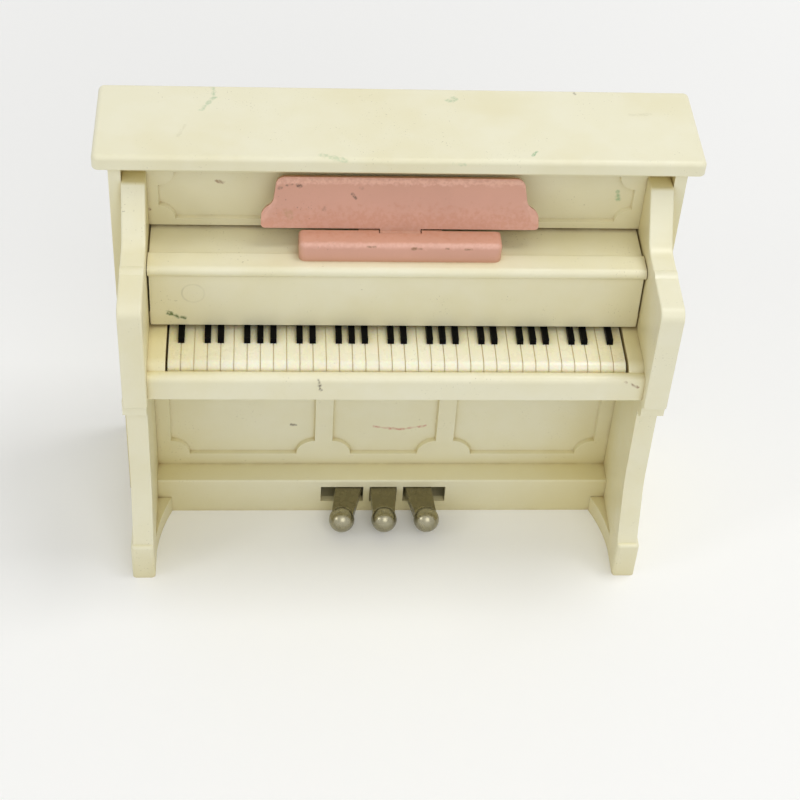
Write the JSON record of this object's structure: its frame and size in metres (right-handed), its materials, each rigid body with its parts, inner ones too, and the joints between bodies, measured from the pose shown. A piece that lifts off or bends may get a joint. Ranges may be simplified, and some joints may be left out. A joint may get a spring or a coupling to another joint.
{
  "type": "toy upright piano",
  "caption": "Small ivory plastic toy upright piano with a pink music desk, sliding key lid, hinged top lid and working pedals",
  "frame": {"origin": "on the floor, under the centre of the overall width and depth", "axes": "x: to the player's right, along the keyboard; y: from the player to the back of the piano; z: up"},
  "size_m": [0.118, 0.048, 0.0938],
  "materials": {
    "ivory_case": "satin",
    "ivory_panel": "satin",
    "ivory_back": "satin",
    "ivory_keybed": "satin",
    "ivory_keys": "gloss",
    "ivory_lid": "satin",
    "ivory_top": "satin",
    "ivory_inner": "satin",
    "black_plastic": "gloss",
    "pink_plastic": "satin",
    "pink_board": "satin",
    "steel_rod": "satin",
    "screw_steel": "satin",
    "pedal_metal": "satin"
  },
  "bodies": {
    "case": {"side_left": "ivory_case", "side_right": "ivory_case", "upper_panel": "ivory_panel", "lower_panel": "ivory_panel", "bottom_board": "ivory_panel", "back_panel": "ivory_back", "keybed": "ivory_keybed", "white_keys": "ivory_keys", "black_keys": "black_plastic", "pedal_rod": "steel_rod", "rod_cradle_left": "ivory_inner", "rod_cradle_right": "ivory_inner", "back_screw_1": "screw_steel", "back_screw_2": "screw_steel", "back_screw_3": "screw_steel", "back_screw_4": "screw_steel"},
    "key_cover": {"key_lid": "ivory_lid", "desk_ledge": "pink_plastic"},
    "music_desk": {"desk_board": "pink_board"},
    "lid": {"top_lid": "ivory_top"},
    "left_pedal": {"pedal_left": "pedal_metal"},
    "middle_pedal": {"pedal_middle": "pedal_metal"},
    "right_pedal": {"pedal_right": "pedal_metal"}
  },
  "joints": [
    {"name": "key_lid_slide", "type": "slide", "parent": "case", "child": "key_cover", "axis": [0, -1, 0], "range_m": [0, 0.012]},
    {"name": "desk_hinge", "type": "hinge", "parent": "key_cover", "child": "music_desk", "pos_m": [0.0003, -0.00065, 0.076], "axis": [1, 0, 0], "range_deg": [0, 22]},
    {"name": "top_lid_hinge", "type": "hinge", "parent": "case", "child": "lid", "pos_m": [0, 0.0202, 0.0873], "axis": [-1, 0, 0], "range_deg": [0, 95]},
    {"name": "pedal_left_hinge", "type": "hinge", "parent": "case", "child": "left_pedal", "pos_m": [-0.0078, 0.0068, 0.0063], "axis": [1, 0, 0], "range_deg": [0, 3.5]},
    {"name": "pedal_middle_hinge", "type": "hinge", "parent": "case", "child": "middle_pedal", "pos_m": [0, 0.0068, 0.0063], "axis": [1, 0, 0], "range_deg": [0, 3.5]},
    {"name": "pedal_right_hinge", "type": "hinge", "parent": "case", "child": "right_pedal", "pos_m": [0.0078, 0.0068, 0.0063], "axis": [1, 0, 0], "range_deg": [0, 3.5]}
  ]
}
